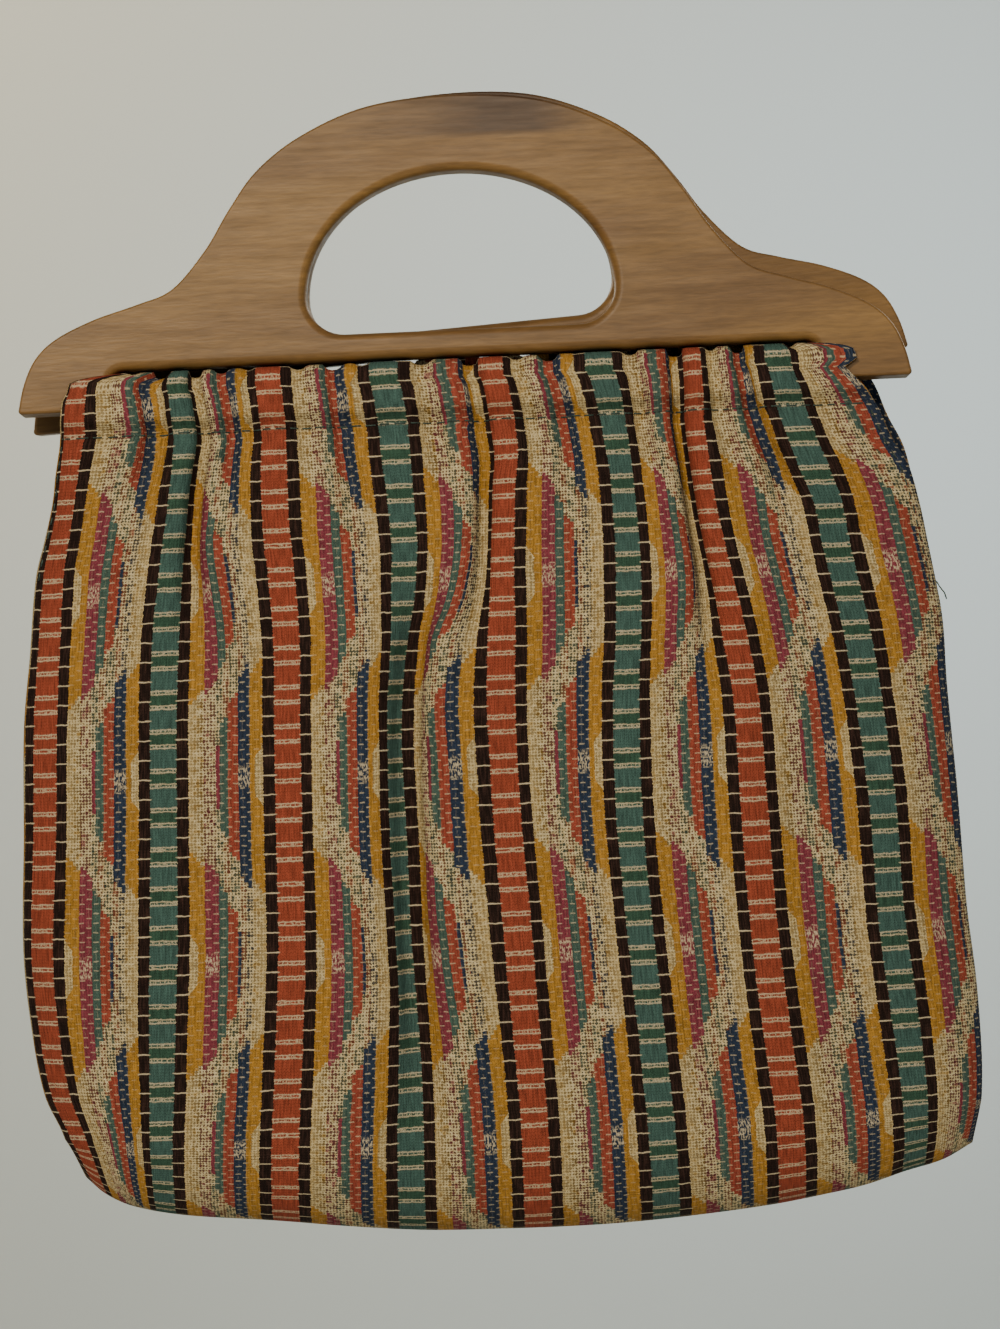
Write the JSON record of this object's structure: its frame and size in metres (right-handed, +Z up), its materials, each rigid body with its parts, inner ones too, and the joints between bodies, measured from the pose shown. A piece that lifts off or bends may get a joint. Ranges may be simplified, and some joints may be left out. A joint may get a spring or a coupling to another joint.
{
  "type": "wooden handle bag",
  "caption": "Gathered cloth bag hung from two flat wooden handles with a dowel between their feet, and a hand hole in each handle.",
  "frame": {"origin": "the point it hangs by: the top of the hand holes, halfway between the two handle plates", "axes": "+X to the right, -Y to the front, +Z up"},
  "size_m": [0.3581, 0.056, 0.4306],
  "materials": {
    "wood": "satin",
    "cloth": "matte"
  },
  "bodies": {
    "root": {"front_handle": "wood", "back_handle": "wood", "front_dowel": "wood", "back_dowel": "wood", "front_panel": "cloth", "back_panel": "cloth"}
  },
  "joints": []
}
